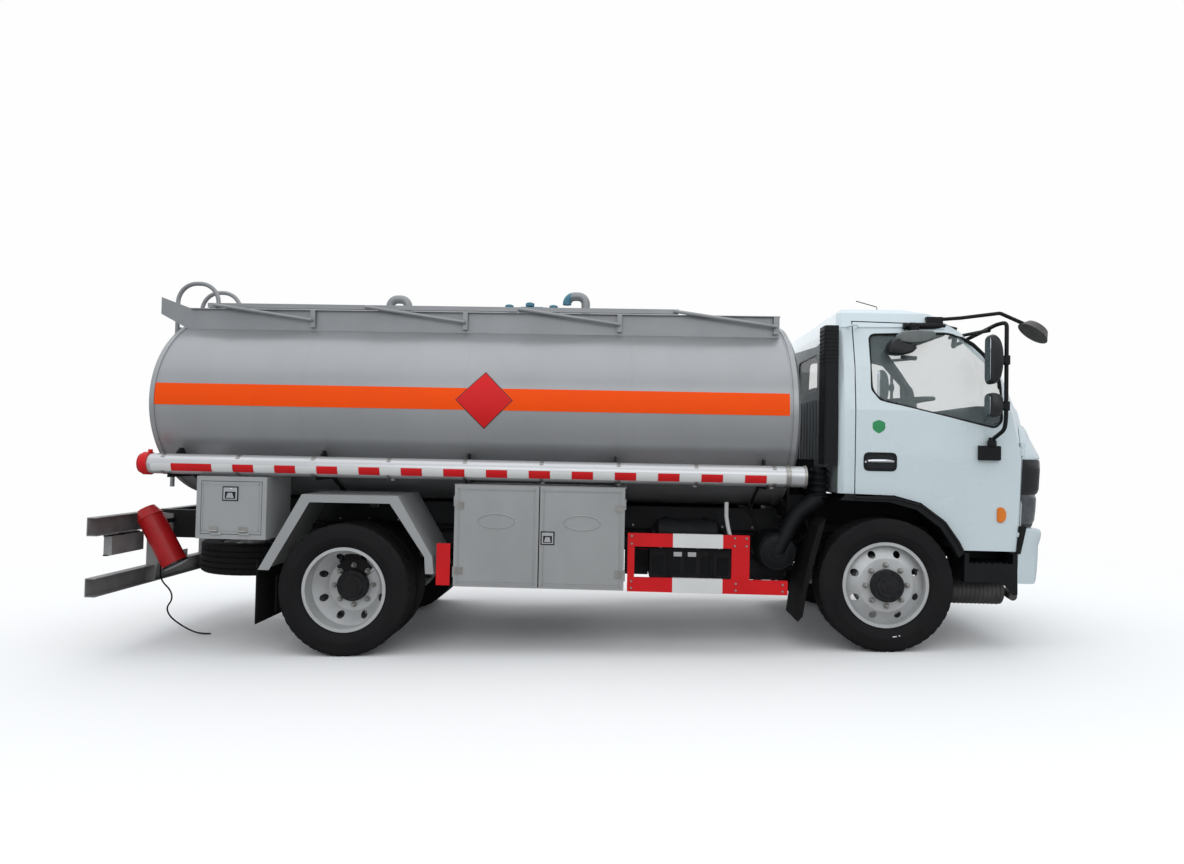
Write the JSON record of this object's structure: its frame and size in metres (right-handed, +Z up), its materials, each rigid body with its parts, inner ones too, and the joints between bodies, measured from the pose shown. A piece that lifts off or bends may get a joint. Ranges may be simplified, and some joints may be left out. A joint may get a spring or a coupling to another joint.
{
  "type": "tanker_truck",
  "caption": "Small tanker truck: tilting cab, oval tank with walkway, folding handrail, ladder, valve box with doors, side guards and rear underrun bars.",
  "frame": {"origin": "on the ground under the middle of the bounding box", "axes": "+X towards the cab's nose, +Y to the truck's left side, +Z up; the body leans 1.75 degrees nose down on level wheels"},
  "size_m": [6.7922, 2.476, 2.8196],
  "materials": {
    "tank_paint": "satin",
    "cab_paint": "gloss",
    "frame_paint": "satin",
    "box_paint": "satin",
    "guard_paint": "satin",
    "tube_metal": "brushed",
    "walkway_paint": "satin",
    "black_plastic": "matte",
    "lamp_plastic": "gloss",
    "mirror_plastic": "matte",
    "red_plastic": "gloss",
    "tyre_rubber": "matte",
    "flap_rubber": "matte",
    "rim_paint": "satin",
    "window_glass": "gloss",
    "cast_metal": "rough",
    "bumper_paint": "gloss",
    "seat_fabric": "woven",
    "lid_paint": "satin",
    "bright_steel": "brushed"
  },
  "bodies": {
    "chassis": {"frame_rails": "frame_paint", "tank_shell": "tank_paint", "subframe": "frame_paint", "walkway_sides": "walkway_paint", "hose_tubes": "tube_metal", "valve_box": "box_paint", "locker": "box_paint", "rear_fenders": "box_paint", "mud_flaps": "flap_rubber", "side_guards": "guard_paint", "rear_underrun": "guard_paint", "extinguisher_holders": "red_plastic", "spare_rim": "rim_paint", "spare_tyre": "tyre_rubber", "ladder": "walkway_paint", "tank_top_fittings": "lid_paint", "battery_box": "frame_paint", "fuel_tank": "tube_metal", "air_filter": "black_plastic", "axles": "cast_metal", "leaf_springs": "cast_metal", "engine_block": "cast_metal", "gearbox_and_shaft": "cast_metal", "silencer": "bright_steel", "bumper_and_steps": "bumper_paint", "earth_strap": "flap_rubber"},
    "cab": {"cab_shell": "cab_paint", "cab_glass": "window_glass", "grille_and_lamps": "lamp_plastic", "cab_interior": "seat_fabric", "intake_stack": "black_plastic", "front_mirror": "mirror_plastic", "wheel_flares": "black_plastic"},
    "right_door": {"door_right": "cab_paint", "door_glass_right": "window_glass", "mirror_right": "mirror_plastic"},
    "left_door": {"door_left": "cab_paint", "door_glass_left": "window_glass", "mirror_left": "mirror_plastic"},
    "right_knuckle": {"knuckle_right": "cast_metal"},
    "left_knuckle": {"knuckle_left": "cast_metal"},
    "front_right_wheel": {"rim_front_right": "rim_paint", "tyre_front_right": "tyre_rubber"},
    "front_left_wheel": {"rim_front_left": "rim_paint", "tyre_front_left": "tyre_rubber"},
    "rear_right_wheels": {"rim_rear_right": "rim_paint", "tyres_rear_right": "tyre_rubber"},
    "rear_left_wheels": {"rim_rear_left": "rim_paint", "tyres_rear_left": "tyre_rubber"},
    "rear_valve_door": {"valve_door_rear": "box_paint"},
    "front_valve_door": {"valve_door_front": "box_paint"},
    "locker_flap": {"locker_door": "box_paint"},
    "lid": {"manhole_lid": "lid_paint"},
    "rail_arm_1": {"handrail_arm_1": "walkway_paint"},
    "rail_arm_2": {"handrail_arm_2": "walkway_paint"},
    "rail_arm_3": {"handrail_arm_3": "walkway_paint"},
    "rail_arm_4": {"handrail_arm_4": "walkway_paint"},
    "top_rail": {"handrail_rail": "walkway_paint"}
  },
  "joints": [
    {"name": "cab_tilt", "type": "hinge", "parent": "chassis", "child": "cab", "pos_m": [3.27649, 0, 0.66868], "axis": [0, 1, 0], "range_deg": [0, 45]},
    {"name": "right_door_swing", "type": "hinge", "parent": "cab", "child": "right_door", "pos_m": [3.19969, -1.0145, 0.97117], "axis": [0.0305, 0, 0.9995], "range_deg": [0, 70]},
    {"name": "left_door_swing", "type": "hinge", "parent": "cab", "child": "left_door", "pos_m": [3.19969, 1.0145, 0.97117], "axis": [-0.0305, 0, -0.9995], "range_deg": [0, 70]},
    {"name": "right_steering", "type": "hinge", "parent": "chassis", "child": "right_knuckle", "pos_m": [2.24776, -0.8, 0.464], "axis": [0, 0, 1], "range_deg": [-38, 38]},
    {"name": "left_steering", "type": "hinge", "parent": "chassis", "child": "left_knuckle", "pos_m": [2.24776, 0.8, 0.464], "axis": [0, 0, 1], "range_deg": [-38, 38]},
    {"name": "front_right_wheel_spin", "type": "hinge", "parent": "right_knuckle", "child": "front_right_wheel", "pos_m": [2.24776, -0.925, 0.464], "axis": [0, 1, 0], "continuous": true},
    {"name": "front_left_wheel_spin", "type": "hinge", "parent": "left_knuckle", "child": "front_left_wheel", "pos_m": [2.24776, 0.925, 0.464], "axis": [0, 1, 0], "continuous": true},
    {"name": "rear_right_wheels_spin", "type": "hinge", "parent": "chassis", "child": "rear_right_wheels", "pos_m": [-1.55224, -0.875, 0.464], "axis": [0, 1, 0], "continuous": true},
    {"name": "rear_left_wheels_spin", "type": "hinge", "parent": "chassis", "child": "rear_left_wheels", "pos_m": [-1.55224, 0.875, 0.464], "axis": [0, 1, 0], "continuous": true},
    {"name": "rear_valve_door_swing", "type": "hinge", "parent": "chassis", "child": "rear_valve_door", "pos_m": [-0.7621, -1.139, 0.84209], "axis": [-0.0305, 0, -0.9995], "range_deg": [0, 100]},
    {"name": "front_valve_door_swing", "type": "hinge", "parent": "chassis", "child": "front_valve_door", "pos_m": [0.42535, -1.139, 0.80581], "axis": [0.0305, 0, 0.9995], "range_deg": [0, 100]},
    {"name": "locker_flap_drop", "type": "hinge", "parent": "chassis", "child": "locker_flap", "pos_m": [-2.34621, -1.15, 0.86248], "axis": [0.9995, 0, -0.0305], "range_deg": [0, 90]},
    {"name": "lid_lift", "type": "hinge", "parent": "chassis", "child": "lid", "pos_m": [-0.6118, 0, 2.5523], "axis": [0, -1, 0], "range_deg": [0, 110]},
    {"name": "rail_arm_1_raise", "type": "hinge", "parent": "chassis", "child": "rail_arm_1", "pos_m": [1.58471, -0.693, 2.33912], "axis": [0, 1, 0], "range_deg": [0, 82]},
    {"name": "rail_arm_2_raise", "type": "hinge", "parent": "chassis", "child": "rail_arm_2", "pos_m": [0.41026, -0.693, 2.37501], "axis": [0, 1, 0], "range_deg": [0, 82]},
    {"name": "rail_arm_3_raise", "type": "hinge", "parent": "chassis", "child": "rail_arm_3", "pos_m": [-0.76419, -0.693, 2.41089], "axis": [0, 1, 0], "range_deg": [0, 82]},
    {"name": "rail_arm_4_raise", "type": "hinge", "parent": "chassis", "child": "rail_arm_4", "pos_m": [-1.93864, -0.693, 2.44677], "axis": [0, 1, 0], "range_deg": [0, 82]},
    {"name": "top_rail_level", "type": "hinge", "parent": "rail_arm_1", "child": "top_rail", "pos_m": [0.82331, -0.693, 2.46844], "axis": [0, 1, 0], "range_deg": [-82, 0]}
  ],
  "couplings": [
    {"joint": "left_steering", "follows": "right_steering", "ratio": 1},
    {"joint": "rail_arm_2_raise", "follows": "rail_arm_1_raise", "ratio": 1},
    {"joint": "rail_arm_3_raise", "follows": "rail_arm_1_raise", "ratio": 1},
    {"joint": "rail_arm_4_raise", "follows": "rail_arm_1_raise", "ratio": 1},
    {"joint": "top_rail_level", "follows": "rail_arm_1_raise", "ratio": -1}
  ]
}
